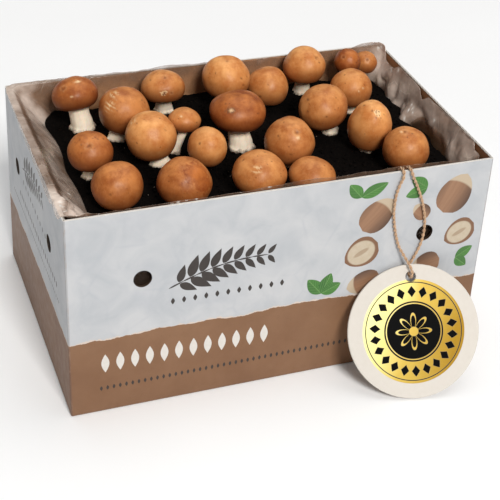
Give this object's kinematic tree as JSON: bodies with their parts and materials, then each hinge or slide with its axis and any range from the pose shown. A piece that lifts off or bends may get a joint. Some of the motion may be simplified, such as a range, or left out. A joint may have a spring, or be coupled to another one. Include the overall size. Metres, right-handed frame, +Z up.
{
  "type": "button mushroom grow kit",
  "caption": "Open carton lined with a clear film bag of dark soil, with brown button mushrooms growing in it and a round tag on a twine loop over the front wall.",
  "frame": {"origin": "middle of the carton's underside", "axes": "+X along the carton's long side, to the right seen from the front; -Y is the front, where the tag hangs; +Z up"},
  "size_m": [0.38, 0.317, 0.2169],
  "materials": {
    "carton_board": "printed matt board, pale grey over a brown lower band",
    "liner_film": "clear crumpled film",
    "soil": "dark, damp and crumbly",
    "cap_skin": "satin brown mushroom skin",
    "stem_flesh": "pale matt flesh",
    "tag_board": "satin board with gold foil",
    "twine_jute": "twisted jute"
  },
  "bodies": {
    "root": {"carton": "carton_board", "liner": "liner_film", "soil": "soil", "cap_01": "cap_skin", "cap_02": "cap_skin", "cap_03": "cap_skin", "cap_04": "cap_skin", "cap_05": "cap_skin", "cap_06": "cap_skin", "cap_07": "cap_skin", "cap_08": "cap_skin", "cap_09": "cap_skin", "cap_10": "cap_skin", "cap_11": "cap_skin", "cap_12": "cap_skin", "cap_13": "cap_skin", "cap_14": "cap_skin", "cap_15": "cap_skin", "cap_16": "cap_skin", "cap_17": "cap_skin", "cap_18": "cap_skin", "cap_19": "cap_skin", "cap_20": "cap_skin", "cap_21": "cap_skin", "cap_22": "cap_skin", "stem_01": "stem_flesh", "stem_02": "stem_flesh", "stem_03": "stem_flesh", "stem_04": "stem_flesh", "stem_05": "stem_flesh", "stem_06": "stem_flesh", "stem_07": "stem_flesh", "stem_08": "stem_flesh", "stem_09": "stem_flesh", "stem_10": "stem_flesh", "stem_11": "stem_flesh", "stem_12": "stem_flesh", "stem_13": "stem_flesh", "stem_14": "stem_flesh", "stem_15": "stem_flesh", "stem_16": "stem_flesh", "stem_17": "stem_flesh", "stem_18": "stem_flesh", "stem_19": "stem_flesh", "stem_20": "stem_flesh", "stem_21": "stem_flesh", "stem_22": "stem_flesh", "hang_tag": "tag_board", "twine": "twine_jute"}
  },
  "joints": []
}
